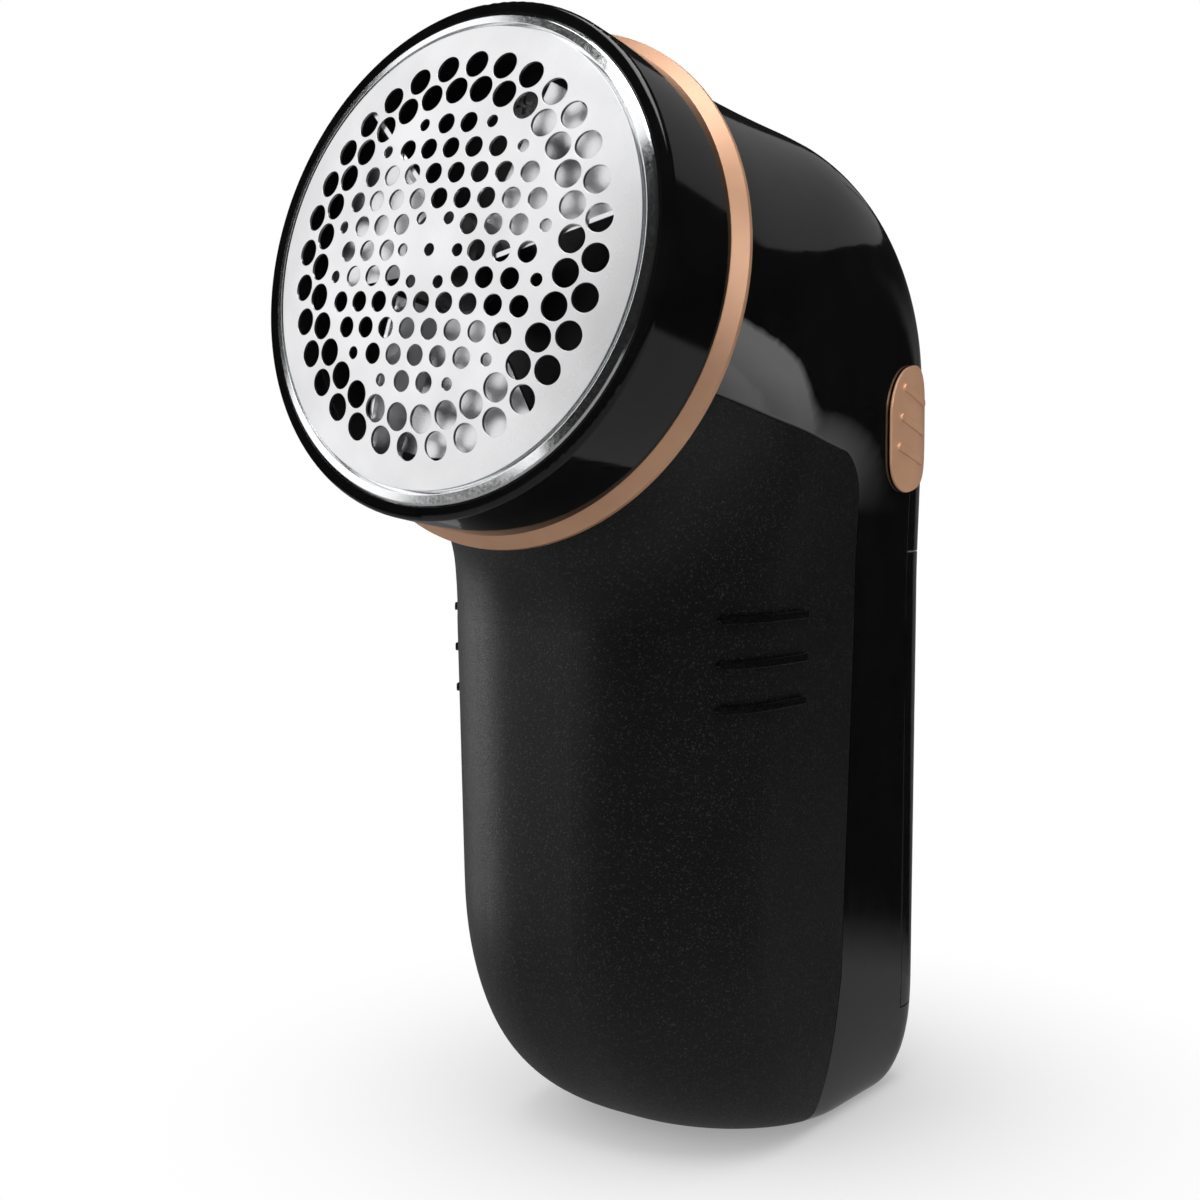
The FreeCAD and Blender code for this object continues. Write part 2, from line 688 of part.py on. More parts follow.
def cutter_hub():
    body = disc(CUTTER_R, -9.0, PLATE_Z[0])
    body = body.fuse(disc(SPIGOT_R, PLATE_Z[0] - 0.2, -0.6))
    body = body.cut(disc(SPIGOT_R + 0.2, -9.5, -5.8))
    flat = box(HUB_FLAT + FIT, HUB_FLAT + 2.0, -4.0, 4.0, -11.0, 0.0)
    bore = disc(HUB_R + FIT, -10.0, -3.0).cut(flat)
    return to_head(body.cut(bore).removeSplitter())


def cutter_blades():
    under_foil = dome_cap(BLADE_REACH, FOIL_THICK + BLADE_GAP, -6.0)
    base = V(0, 0, PLATE_Z[0])
    thick = PLATE_Z[1] - PLATE_Z[0]
    pieces = []
    for k in range(BLADE_COUNT):
        plate = Part.makeCylinder(PLATE_R, thick, base, V(0, 0, 1), BLADE_SPAN)
        plate = plate.cut(disc(CUTTER_R, -6, 0))
        fin = box(CUTTER_R + 0.1, BLADE_REACH, -BLADE_THICK / 2, BLADE_THICK / 2, PLATE_Z[0], 4.0)
        fin.rotate(base, V(1, 0, 0), BLADE_LEAN)
        blade = plate.fuse(fin.common(under_foil))
        tab = Part.makeCylinder(CUTTER_R + 0.2, thick, base, V(0, 0, 1), BLADE_SPAN)
        blade = blade.fuse(tab.cut(disc(SPIGOT_R + FIT, -6, 0))).removeSplitter()
        blade.rotate(V(0, 0, 0), V(0, 0, 1), 360.0 / BLADE_COUNT * k + 12.0)
        pieces.append(blade)
    return to_head(group(pieces))


def cutter_cap():
    skirt = tube(CAP_R, SPIGOT_R + FIT, PLATE_Z[1] + 0.02, -0.5)
    crown = disc(CAP_R, -0.55, 0.3)
    return to_head(skirt.fuse(crown).removeSplitter())


def coil(radius, wire_r, low, high, turns, x=0.0, y=0.0):
    """Round-wire coil spring along Z that just fits between two levels."""
    rise = high - low - 2 * wire_r
    steps = 8
    points = []
    for k in range(steps * turns + 1):
        across = polar(radius, 360.0 * k / steps)
        points.append((x + across[0], y + across[1], low + wire_r + rise * k / (steps * turns)))
    return wire(points, wire_r)


def cutter_spring():
    return to_head(coil(3.12, 0.2, -10.95, -5.85, 4))


def drive_hub():
    flat = box(HUB_FLAT, HUB_FLAT + 2.0, -4.0, 4.0, -11.0, 0.0)
    stem = disc(HUB_R, -11.2, -4.9).cut(flat)
    seat = disc(3.2, -11.8, -11.0)
    sleeve = disc(HUB_R, -15.3, -11.5)
    return to_head(stem.fuse([seat, sleeve]).cut(disc(SHAFT_R, -20, 0)).removeSplitter())


# ---------------------------------------------------------------- motor

MOTOR_BACK = MOTOR_FRONT - MOTOR_LENGTH
MOTOR_BOSS = 1.4          # the front bearing's boss stands this far out of the can
TERMINAL_X = 6.0


def flat_sided(radius, height, low, high):
    return disc(radius, low, high).common(box(-radius, radius, -height / 2, height / 2, low, high))


def motor_can():
    skin = 0.8
    can = flat_sided(MOTOR_R, MOTOR_HEIGHT, MOTOR_BACK, MOTOR_FRONT)
    can = can.cut(flat_sided(MOTOR_R - skin, MOTOR_HEIGHT - 2 * skin, MOTOR_BACK - 1, MOTOR_FRONT - skin))
    boss = tube(BEARING_R + 1.0, BEARING_R, MOTOR_FRONT - skin, MOTOR_FRONT + MOTOR_BOSS)
    can = can.fuse(boss).removeSplitter()
    low, high = MOTOR_FRONT - 2.0, MOTOR_FRONT + 2.0
    holes = [disc(BEARING_R, low, high)]
    holes += [disc(SCREW_HOLE_R, low, high, x, 0) for x in (-MOTOR_SCREW_X, MOTOR_SCREW_X)]
    return to_head(can.cut(holes))


def motor_bushes():
    bore = SHAFT_R + 0.04
    front = tube(BEARING_R, bore, MOTOR_FRONT - 0.8, MOTOR_FRONT + MOTOR_BOSS)
    rear = tube(BEARING_R, bore, MOTOR_BACK - 2.2, MOTOR_BACK - 0.3)
    return to_head(group([front, rear]))


def motor_end_cap():
    cap = flat_sided(MOTOR_R - 0.1, MOTOR_HEIGHT - 0.2, MOTOR_BACK - 2.4, MOTOR_BACK - 0.05)
    low, high = MOTOR_BACK - 4.0, MOTOR_BACK + 1.0
    holes = [disc(BEARING_R, low, high)]
    holes += [box(x - 1.2, x + 1.2, -0.25, 0.25, low, high) for x in (-TERMINAL_X, TERMINAL_X)]
    return to_head(cap.cut(holes))


def motor_terminals():
    tabs = []
    for x in (-TERMINAL_X, TERMINAL_X):
        tab = box(x - 1.15, x + 1.15, -0.2, 0.2, MOTOR_BACK - 5.2, MOTOR_BACK - 0.3)
        eye = Part.makeCylinder(0.5, 2, V(x, -1, MOTOR_BACK - 4.0), V(0, 1, 0))
        tabs.append(tab.cut(eye))
    return to_head(group(tabs))


def motor_magnets():
    low, high = MOTOR_FRONT - 20.0, MOTOR_FRONT - 4.0
    outer, inner = 9.1, 7.4
    gap = 2.5
    sleeve = tube(outer, inner, low, high).common(flat_sided(outer, 13.4, low, high))
    halves = [sleeve.common(box(gap, outer, -8, 8, low, high)),
              sleeve.common(box(-outer, -gap, -8, 8, low, high))]
    return to_head(group([half.Solids[0] for half in halves]))


def armature():
    """Three-pole laminated rotor with its commutator."""
    low, high = MOTOR_FRONT - 18.5, MOTOR_FRONT - 5.5
    core = disc(6.6, low, high)
    slots = []
    for k in range(3):
        slot = box(3.0, 7.0, -0.8, 0.8, low - 1, high + 1)
        winding = slot.fuse(disc(1.6, low - 1, high + 1, 4.2, 0))
        winding.rotate(V(0, 0, 0), V(0, 0, 1), 120 * k + 60)
        slots.append(winding)
    core = core.cut(slots).fuse(disc(2.4, low - 3.2, low + 0.1)).removeSplitter()
    return to_head(core.cut(disc(SHAFT_R, -60, 0)))


def motor_shaft():
    return to_head(disc(SHAFT_R, MOTOR_BACK - 2.1, -5.6))


def motor_screws():
    top = -NECK_START + 1.2
    places = (-MOTOR_SCREW_X, MOTOR_SCREW_X)
    return to_head(group([screw(SCREW_R, 1.8, top, 1.15, -19.6, x, 0) for x in places]))


def motor_cradle():
    """Saddle that ties the motor's back end to the floor of the neck."""
    low, high = MOTOR_BACK + 2.0, MOTOR_BACK + 6.0
    saddle = box(-11.5, 11.5, -8.4, 3.0, low, high)
    return to_head(saddle.cut(flat_sided(MOTOR_R + 0.05, MOTOR_HEIGHT + 0.1, low - 1, high + 1)))


# ---------------------------------------------------------------- power

TRAY_Z = (8.4, 69.2)
TRAY_X = 15.9
TRAY_END = 1.5            # floor and roof of the tray
CONTACT_GAP = 3.1
CONTACT_Y = (CELL_Y - 3.5, CELL_Y + 4.0)
CONTACT_THICK = 0.4
CELL_NUB = 1.2
CELL_NUB_R = 2.7
CELL_TOP_Z = CELL_BASE_Z + CELL_LENGTH + CELL_NUB


def battery_tray():
    front = SEAM_Y + GAP + WALL + 0.1
    low, high = TRAY_Z
    tray = box(-TRAY_X, TRAY_X, front, 7.0, low, high)
    low, high = low + TRAY_END, high - TRAY_END
    for x in (-CELL_X, CELL_X):
        tray = tray.cut(disc(CELL_R + 0.15, low, high, x, CELL_Y))
    tray = tray.cut(box(-TRAY_X + 1.3, TRAY_X - 1.3, CELL_Y, FAR, low, high))
    for z0, z1 in ((low, CELL_BASE_Z), (high - 3.5, high)):
        tray = tray.cut(box(-12.7, 12.7, CONTACT_Y[0] - 0.2, FAR, z0, z1))
    return tray.removeSplitter()


def battery_cell(x, upwards):
    can = disc(CELL_R, 0, CELL_LENGTH)
    can = can.makeFillet(0.5, [e for e in can.Edges if e.isClosed()])
    groove = tube(CELL_R + 1, CELL_R - 0.35, CELL_LENGTH - 2.2, CELL_LENGTH - 1.6)
    nub = disc(CELL_NUB_R, CELL_LENGTH - 0.2, CELL_LENGTH + CELL_NUB)
    cell = can.cut(groove).fuse(nub).removeSplitter()
    if not upwards:
        cell.rotate(V(0, 0, (CELL_LENGTH + CELL_NUB) / 2), V(0, 1, 0), 180)
    cell.translate(V(x, CELL_Y, CELL_BASE_Z))
    return cell


def contact_springs():
    slack = 0.02
    springs = []
    for x, low in ((-CELL_X, CELL_BASE_Z - CONTACT_GAP), (CELL_X, CELL_TOP_Z)):
        springs.append(coil(3.4, 0.35, low + slack, low + CONTACT_GAP - slack, 3, x, CELL_Y))
    return group(springs)


def contact_plates():
    top = CELL_TOP_Z + CONTACT_GAP
    low = CELL_BASE_Z - CONTACT_GAP
    stud_r = CELL_NUB_R - 0.1
    slack = 0.02
    link = box(-12.5, 12.5, *CONTACT_Y, low - CONTACT_THICK, low)
    link = link.fuse(disc(stud_r, low - 0.1, CELL_BASE_Z - slack, CELL_X, CELL_Y))
    right = box(3.0, 12.0, *CONTACT_Y, top, top + CONTACT_THICK)
    left = box(-12.0, -3.0, *CONTACT_Y, top, top + CONTACT_THICK)
    left = left.fuse(disc(stud_r, CELL_TOP_Z + slack, top + 0.1, -CELL_X, CELL_Y))
    return group([link.removeSplitter(), left.removeSplitter(), right])


# ---------------------------------------------------------------- switch and wires

SWITCH_X = (12.0, 16.4)
SWITCH_Z = (81.0, 97.0)
SWITCH_PIN_X = 9.4
SWITCH_PIN_Z = (83.4, 88.2, 93.0)
STEM_X = 17.2             # inner end of the knob's stem
STEM_Y = (SLOT_Y[0] + 0.2, SLOT_Y[1] - 0.2)
STEM_Z = (88.4, 92.8)
PRISM_X = (10.0, 40.0)    # the prisms that shape the knob run from inside the casing to outside it
KNOB_OVERLAP = 0.3        # depth that the ridges and the stem share with the knob
RIDGE_LENGTH = 7.8
RIDGE_WIDTH = 1.0
RIDGE_HEIGHT = 0.22
RIDGE_PITCH = 3.8
RIDGE_FALL = 27.0         # degrees that the ridges fall towards the back, on the leaning knob
RIDGE_SHIFT = (0.4, 0.6)  # middle ridge, across and up from the knob's middle


def rounded_prism(length, width, corner, depth_from, depth_to):
    """Prism along X with a rounded rectangular outline, centred on X."""
    half_y = width / 2 - corner
    half_z = length / 2 - corner
    shape = box(depth_from, depth_to, -width / 2, width / 2, -half_z, half_z)
    if half_y > 0:
        shape = shape.fuse(box(depth_from, depth_to, -half_y, half_y, -length / 2, length / 2))
    for y in {-half_y, half_y}:
        for z in (-half_z, half_z):
            end = Part.makeCylinder(corner, depth_to - depth_from, V(depth_from, y, z), V(1, 0, 0))
            shape = shape.fuse(end)
    return shape.removeSplitter()


def face_knob(shape, across, z):
    """Moves a prism along X to the place and direction of the switch knob."""
    shape.rotate(V(0, 0, 0), V(1, 0, 0), KNOB_LEAN)
    shape.translate(V(0, across, z))
    shape.rotate(V(0, 0, 0), V(0, 0, 1), KNOB_FACING)
    return shape


def switch_knob():
    middle = (KNOB_Z[0] + KNOB_Z[1]) / 2
    outline = rounded_prism(KNOB_Z[1] - KNOB_Z[0], KNOB_WIDTH, KNOB_CORNER_R, *PRISM_X)
    outline = face_knob(outline, KNOB_ACROSS, middle)
    cap = body_solid(-KNOB_PROUD).cut(body_solid(-KNOB_UNDER)).common(outline)
    below_face = body_solid(-KNOB_PROUD + KNOB_OVERLAP)
    ridge_skin = body_solid(-KNOB_PROUD - RIDGE_HEIGHT).cut(below_face)
    ridges = []
    for k in (-1, 0, 1):
        bar = rounded_prism(RIDGE_LENGTH, RIDGE_WIDTH, RIDGE_WIDTH / 2, *PRISM_X)
        bar.rotate(V(0, 0, 0), V(1, 0, 0), 90.0 - RIDGE_FALL)
        bar = face_knob(bar, KNOB_ACROSS + RIDGE_SHIFT[0], middle + RIDGE_SHIFT[1] + RIDGE_PITCH * k)
        ridges += ridge_skin.common(bar).Solids
    stem = box(STEM_X, FAR, *STEM_Y, *STEM_Z).common(below_face)
    return cap.fuse(ridges + [stem]).removeSplitter()


def switch_slider():
    border = 1.6
    block = box(SWITCH_X[1] + 0.1, STEM_X + 2.0, SLOT_Y[0] - 1.2, SLOT_Y[1] + 1.0,
                STEM_Z[0] - border, STEM_Z[1] + border)
    return block.cut(box(STEM_X, FAR, *STEM_Y, *STEM_Z))


def switch_body():
    body = box(*SWITCH_X, SLOT_Y[0] - 2.0, SLOT_Y[1] + 2.0, *SWITCH_Z)
    pins = [box(SWITCH_PIN_X, SWITCH_X[0], 5.8, 6.4, z, z + 1.6) for z in SWITCH_PIN_Z]
    return body.fuse(pins).removeSplitter()


def wire(points, radius=0.6):
    curve = Part.BSplineCurve()
    curve.interpolate([V(*p) for p in points])
    path = Part.Wire([curve.toShape()])
    start = curve.value(curve.FirstParameter)
    tangent = curve.tangent(curve.FirstParameter)[0]
    circle = Part.Wire([Part.makeCircle(radius, start, tangent)])
    return path.makePipeShell([circle], True, True)


def terminal_point(x):
    return tuple(head_point(x, -0.95, MOTOR_BACK - 4.4))


def wire_red():
    """Positive cell contact to the switch."""
    return wire([(-7.5, CELL_Y, 70.0), (-7.0, CELL_Y, 74.0), (2.0, 6.5, 80.0), (8.7, 6.1, 83.2)])


def wire_blue():
    """Switch to the motor."""
    x, y, z = terminal_point(6)
    return wire([(8.7, 6.1, 88.8), (5.0, 3.0, 92.0), (5.5, -3.0, 95.0), (x, y + 1.2, z - 0.9)])


def wire_black():
    """Negative cell contact to the motor."""
    x, y, z = terminal_point(-6)
    return wire([(7.5, CELL_Y, 70.0), (5.0, 3.0, 74.5), (-6.0, 0.0, 84.0), (x, y + 1.2, z - 0.9)])


# ---------------------------------------------------------------- build

def build():
    outer = body_solid(0.0)
    inner = body_solid(WALL)
    return {
        "main_housing": main_housing(outer, inner),
        "rear_cover": rear_cover(outer, inner),
        "battery_door": battery_door(outer, inner),
        "lint_container": lint_container(outer),
        "grip_ribs": grip_ribs(outer),
        "trim_ring": trim_ring(),
        "head_collar": head_collar(),
        "foil_band": foil_band(),
        "mesh_foil": mesh_foil(),
        "blade_chamber": blade_chamber(),
        "chute_seal": chute_seal(),
        "chamber_screws": chamber_screws(),
        "cutter_hub": cutter_hub(),
        "cutter_blades": cutter_blades(),
        "cutter_cap": cutter_cap(),
        "cutter_spring": cutter_spring(),
        "drive_hub": drive_hub(),
        "motor_can": motor_can(),
        "motor_bushes": motor_bushes(),
        "motor_end_cap": motor_end_cap(),
        "motor_terminals": motor_terminals(),
        "motor_magnets": motor_magnets(),
        "motor_armature": armature(),
        "motor_shaft": motor_shaft(),
        "motor_screws": motor_screws(),
        "motor_cradle": motor_cradle(),
        "battery_tray": battery_tray(),
        "battery_cell_left": battery_cell(-CELL_X, True),
        "battery_cell_right": battery_cell(CELL_X, False),
        "contact_springs": contact_springs(),
        "contact_plates": contact_plates(),
        "switch_knob": switch_knob(),
        "switch_slider": switch_slider(),
        "switch_body": switch_body(),
        "wire_red": wire_red(),
        "wire_blue": wire_blue(),
        "wire_black": wire_black(),
    }


os.makedirs("parts", exist_ok=True)
for node, shape in build().items():
    save(node, shape)
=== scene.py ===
import json
import math

import bpy
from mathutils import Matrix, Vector

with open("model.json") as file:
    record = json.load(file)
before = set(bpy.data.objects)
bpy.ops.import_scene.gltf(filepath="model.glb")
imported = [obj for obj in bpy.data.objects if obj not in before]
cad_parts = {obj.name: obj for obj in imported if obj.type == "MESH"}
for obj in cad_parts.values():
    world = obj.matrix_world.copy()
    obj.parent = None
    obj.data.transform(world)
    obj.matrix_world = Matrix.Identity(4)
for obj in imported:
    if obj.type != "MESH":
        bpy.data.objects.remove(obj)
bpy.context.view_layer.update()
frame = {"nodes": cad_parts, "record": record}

nodes = frame["nodes"]
scene = bpy.context.scene

MM = 0.001


# ---------------------------------------------------------------- materials

class Graph:
    """Short-hand for building a node material."""

    def __init__(self, name):
        self.material = bpy.data.materials.new(name)
        self.material.use_nodes = True
        self.tree = self.material.node_tree
        self.tree.nodes.clear()
        self.out = self.add("ShaderNodeOutputMaterial")
        place = self.add("ShaderNodeTexCoord")
        scale = self.add("ShaderNodeVectorMath")
        scale.operation = "SCALE"
        scale.inputs["Scale"].default_value = 1.0 / MM
        self.link(place.outputs["Object"], scale.inputs[0])
        self.millimetres = scale.outputs[0]

    def add(self, kind):
        return self.tree.nodes.new(kind)

    def link(self, a, b):
        self.tree.links.new(a, b)

    def noise(self, size, detail=3.0, roughness=0.5, stretch=(1, 1, 1)):
        """Noise whose blotches are about size millimetres across."""
        vector = self.millimetres
        if stretch != (1, 1, 1):
            squeeze = self.add("ShaderNodeVectorMath")
            squeeze.operation = "MULTIPLY"
            squeeze.inputs[1].default_value = stretch
            self.link(vector, squeeze.inputs[0])
            vector = squeeze.outputs[0]
        node = self.add("ShaderNodeTexNoise")
        node.inputs["Scale"].default_value = 1.0 / size
        node.inputs["Detail"].default_value = detail
        node.inputs["Roughness"].default_value = roughness
        self.link(vector, node.inputs["Vector"])
        return node.outputs["Fac"]

    def spread(self, value, low, high, start=0.3, end=0.7):
        node = self.add("ShaderNodeMapRange")
        node.inputs["From Min"].default_value = start
        node.inputs["From Max"].default_value = end
        node.inputs["To Min"].default_value = low
        node.inputs["To Max"].default_value = high
        self.link(value, node.inputs["Value"])
        return node.outputs["Result"]

    def tint(self, value, dark, light, start=0.3, end=0.7):
        node = self.add("ShaderNodeValToRGB")
        node.color_ramp.elements[0].position = start
        node.color_ramp.elements[0].color = (*dark, 1)
        node.color_ramp.elements[1].position = end
        node.color_ramp.elements[1].color = (*light, 1)
        self.link(value, node.inputs["Fac"])
        return node.outputs["Color"]

    def times(self, a, b):
        node = self.add("ShaderNodeMath")
        node.operation = "MULTIPLY"
        self.link(a, node.inputs[0])
        self.link(b, node.inputs[1])
        return node.outputs[0]

    def mix(self, share, first, second):
        """Shader that turns from first into second as share goes from 0 to 1."""
        node = self.add("ShaderNodeMixShader")
        for socket, source in zip(node.inputs, (share, first, second)):
            self.link(source, socket)
        return node.outputs[0]

    def matt(self, brightness):
        node = self.add("ShaderNodeBsdfDiffuse")
        node.inputs["Color"].default_value = (brightness, brightness, brightness, 1)
        return node.outputs[0]

    def glow(self, strength):
        node = self.add("ShaderNodeEmission")
        node.inputs["Strength"].default_value = strength
        return node.outputs[0]

    def edge(self, radius):
        """Normal that rounds sharp edges by a radius in millimetres."""
        node = self.add("ShaderNodeBevel")
        node.samples = 4
        node.inputs["Radius"].default_value = radius * MM
        return node.outputs["Normal"]

    def bump(self, height, depth, normal=None):
        """Bump whose height runs over depth millimetres."""
        node = self.add("ShaderNodeBump")
        node.inputs["Strength"].default_value = 1.0
        node.inputs["Distance"].default_value = depth * MM
        self.link(height, node.inputs["Height"])
        if normal is not None:
            self.link(normal, node.inputs["Normal"])
        return node.outputs["Normal"]

    def surface(self, colour, roughness, normal=None, metallic=0.0, ior=1.5, coat=0.0, coat_roughness=0.05):
        shader = self.add("ShaderNodeBsdfPrincipled")
        for name, value in (("Base Color", colour), ("Roughness", roughness), ("Normal", normal)):
            if value is None:
                continue
            if isinstance(value, bpy.types.NodeSocket):
                self.link(value, shader.inputs[name])
            elif name == "Base Color":
                shader.inputs[name].default_value = (*value, 1)
            else:
                shader.inputs[name].default_value = value
        shader.inputs["Metallic"].default_value = metallic
        shader.inputs["IOR"].default_value = ior
        shader.inputs["Coat Weight"].default_value = coat
        shader.inputs["Coat Roughness"].default_value = coat_roughness
        self.link(shader.outputs[0], self.out.inputs["Surface"])
        return shader


PAINTED_REFLECTION_GLOW = 0.11              # brightness of the painted reflection of a low white panel, glowing on the housing
PAINTED_REFLECTION_LEVEL = (79.0, 95.0)     # millimetres above the base over which the painted reflection comes to show
PAINTED_REFLECTION_TOP = (-0.085, -0.055)   # sines of the angles below the horizon of the painted reflection's upper edge
PAINTED_REFLECTION_FADE = (-0.62, -0.15)    # and of its fading lower part
MICA_SIZE = 0.17              # millimetres across a cell of the sparkle
MICA_SHARE = (0.84, 1.0)      # cell values over which a cell turns into a fleck
MICA_COLOUR = (0.040, 0.038, 0.038, 1)


def grey(value):
    return (value, value, value * 1.02)


def gloss_black(name, painted_reflection=0.0):
    """Polished black moulding: very faint orange peel and hairline wear.

    Given a brightness, the overhanging upper part also glows with a painted reflection of a low white
    panel, at that brightness."""
    g = Graph(name)
    peel = g.noise(5.0, 2.0)
    wear = g.noise(1.4, 4.0, 0.6, (1.0, 1.0, 0.25))
    normal = g.bump(peel, 0.004, g.edge(0.22))
    colour = g.tint(peel, grey(0.0035), grey(0.006))
    shader = g.surface(colour, g.spread(wear, 0.045, 0.10), normal)
    # painted reflection: emission on the upper housing that stands in for a low white panel it would
    # mirror; no such panel is in the scene
    if painted_reflection:
        place = g.add("ShaderNodeSeparateXYZ")
        g.link(g.millimetres, place.inputs[0])
        mirrored = g.add("ShaderNodeSeparateXYZ")
        source = g.add("ShaderNodeTexCoord")
        g.link(source.outputs["Reflection"], mirrored.inputs[0])
        upper = g.spread(place.outputs["Z"], 0.0, 1.0, *PAINTED_REFLECTION_LEVEL)
        below = g.spread(mirrored.outputs["Z"], 1.0, 0.0, *PAINTED_REFLECTION_TOP)
        fading = g.spread(mirrored.outputs["Z"], 0.0, painted_reflection, *PAINTED_REFLECTION_FADE)
        # glow is the strength of the painted reflection
        glow = g.times(g.times(upper, below), fading)
        shader.inputs["Emission Color"].default_value = (1, 1, 1, 1)
        g.link(glow, shader.inputs["Emission Strength"])
    return g.material


def textured_black():
    """Spark-eroded black moulding with a faint mica sparkle."""
    g = Graph("textured_black")
    grain = g.noise(0.22, 3.0, 0.6)
    cloud = g.noise(9.0, 3.0)
    cells = g.add("ShaderNodeTexVoronoi")
    cells.inputs["Scale"].default_value = 1.0 / MICA_SIZE
    g.link(g.millimetres, cells.inputs["Vector"])
    split = g.add("ShaderNodeSeparateColor")
    g.link(cells.outputs["Color"], split.inputs[0])
    fleck = g.spread(split.outputs[0], 0.0, 1.0, *MICA_SHARE)
    base = g.tint(cloud, (0.0062, 0.0060, 0.0064), (0.0088, 0.0085, 0.0088))
    mix = g.add("ShaderNodeMix")
    mix.data_type = "RGBA"
    g.link(fleck, mix.inputs["Factor"])
    g.link(base, mix.inputs["A"])
    mix.inputs["B"].default_value = MICA_COLOUR
    normal = g.bump(grain, 0.035, g.edge(0.3))
    g.surface(mix.outputs["Result"], g.spread(grain, 0.44, 0.60), normal, ior=1.42)
    return g.material


def smooth_black():
    """Satin black of the grip ribs."""
    g = Graph("rib_black")
    fine = g.noise(0.5, 2.0)
    g.surface(g.tint(fine, grey(0.004), grey(0.008)), g.spread(fine, 0.16, 0.24),
              g.bump(fine, 0.004, g.edge(0.12)))
    return g.material


def copper_lacquer():
    """Satin copper lacquer with a fine metal flake."""
    g = Graph("copper_trim")
    flake = g.noise(0.12, 2.0, 0.6)
    cloud = g.noise(6.0, 2.0)
    colour = g.tint(cloud, (0.60, 0.335, 0.205), (0.68, 0.385, 0.24))
    g.surface(colour, g.spread(flake, 0.34, 0.46), g.bump(flake, 0.006, g.edge(0.18)),
              metallic=0.45, coat=0.15, coat_roughness=0.2)
    return g.material


def foil_steel():
    """Electroformed foil: satin, with a fine grain."""
    g = Graph("foil_steel")
    grain = g.noise(0.10, 2.0, 0.5)
    cloud = g.noise(7.0, 2.0)
    g.surface(g.tint(cloud, (0.66, 0.66, 0.67), (0.74, 0.74, 0.75)), g.spread(grain, 0.27, 0.34),
              g.bump(grain, 0.0035, g.edge(0.1)), metallic=1.0)
    return g.material


def metal(name, dark, light, rough, grain=0.15, depth=0.004, stretch=(1, 1, 1), edge=0.12):
    """Bare metal with a grain, a bump depth and an edge radius in millimetres."""
    g = Graph(name)
    fine = g.noise(grain, 3.0, 0.5, stretch)
    g.surface(g.tint(fine, dark, light), g.spread(fine, *rough),
              g.bump(fine, depth, g.edge(edge)), metallic=1.0)
    return g.material


def plastic(name, dark, light, rough, grain=0.3, depth=0.01, edge=0.15):
    """Moulded plastic or rubber, with the same measures as metal."""
    g = Graph(name)
    fine = g.noise(grain, 3.0, 0.5)
    g.surface(g.tint(fine, dark, light), g.spread(fine, *rough), g.bump(fine, depth, g.edge(edge)))
    return g.material


finishes = {
    "gloss_black": gloss_black("gloss_black"),
    "textured_black": textured_black(),
    "rib_black": smooth_black(),
    "copper_trim": copper_lacquer(),
    "foil_steel": foil_steel(),
    "bright_band": metal("bright_band", (0.80, 0.81, 0.82), (0.88, 0.89, 0.90), (0.09, 0.15), 0.4, 0.001),
    "dark_plastic": plastic("dark_plastic", grey(0.010), grey(0.018), (0.38, 0.52)),
    "seal_rubber": plastic("seal_rubber", grey(0.008), grey(0.014), (0.62, 0.8), 0.5, 0.02),
    "screw_steel": metal("screw_steel", grey(0.42), grey(0.56), (0.24, 0.38), 0.2, 0.004),
    "blade_steel": metal("blade_steel", grey(0.62), grey(0.72), (0.14, 0.26), 0.25, 0.004, (1, 1, 6)),
    "spring_steel": metal("spring_steel", (0.50, 0.49, 0.46), (0.62, 0.61, 0.58), (0.2, 0.34), 0.2),
    "nylon_white": plastic("nylon_white", (0.60, 0.59, 0.55), (0.68, 0.67, 0.63), (0.4, 0.52), 0.6),
    "motor_steel": metal("motor_steel", grey(0.40), grey(0.50), (0.26, 0.40), 0.3, 0.006, (4, 1, 1)),
    "magnet_grey": plastic("magnet_grey", grey(0.05), grey(0.08), (0.55, 0.7), 0.2, 0.02),
    "brass": metal("brass", (0.58, 0.43, 0.20), (0.68, 0.52, 0.26), (0.2, 0.34), 0.2),
    "cell_wrap": plastic("cell_wrap", (0.20, 0.22, 0.24), (0.26, 0.28, 0.30), (0.2, 0.3), 3.0, 0.01),
    "wire_red": plastic("wire_red", (0.38, 0.015, 0.012), (0.46, 0.025, 0.02), (0.36, 0.48)),
    "wire_blue": plastic("wire_blue", (0.012, 0.04, 0.28), (0.02, 0.06, 0.36), (0.36, 0.48)),
    "wire_black": plastic("wire_black", grey(0.012), grey(0.02), (0.36, 0.48)),
}

slots = {part["node"]: part["material_slot"] for part in frame["record"]["subparts"]}
# the housing gets the gloss black copy that carries the painted reflection
special = {"main_housing": gloss_black("gloss_black_housing_painted_reflection", painted_reflection=PAINTED_REFLECTION_GLOW)}
for name, piece in nodes.items():
    piece.data.materials.clear()
    piece.data.materials.append(special.get(name, finishes[slots[name]]))
    for polygon in piece.data.polygons:
        polygon.material_index = 0


# ---------------------------------------------------------------- studio

CAMERA_PLACE = Vector((0.12286, -0.19461, 0.08209))
CAMERA_AIM = Vector((-0.5957, 0.8006, -0.0645))
CAMERA_LENS = 50.4
CAMERA_SENSOR = 36.0
CAMERA_NEAR = 0.005
BACKDROP = 1.0            # brightness that the camera sees behind the object
LIGHT_TARGET = Vector((0.0, -0.02, 0.08))

camera_data = bpy.data.cameras.new("camera")
camera_data.lens = CAMERA_LENS
camera_data.sensor_width = CAMERA_SENSOR
camera_data.clip_start = CAMERA_NEAR
camera = bpy.data.objects.new("camera", camera_data)
camera.location = CAMERA_PLACE
camera.rotation_euler = CAMERA_AIM.to_track_quat("-Z", "Y").to_euler()
scene.collection.objects.link(camera)
scene.camera = camera

scene.view_settings.view_transform = "Standard"


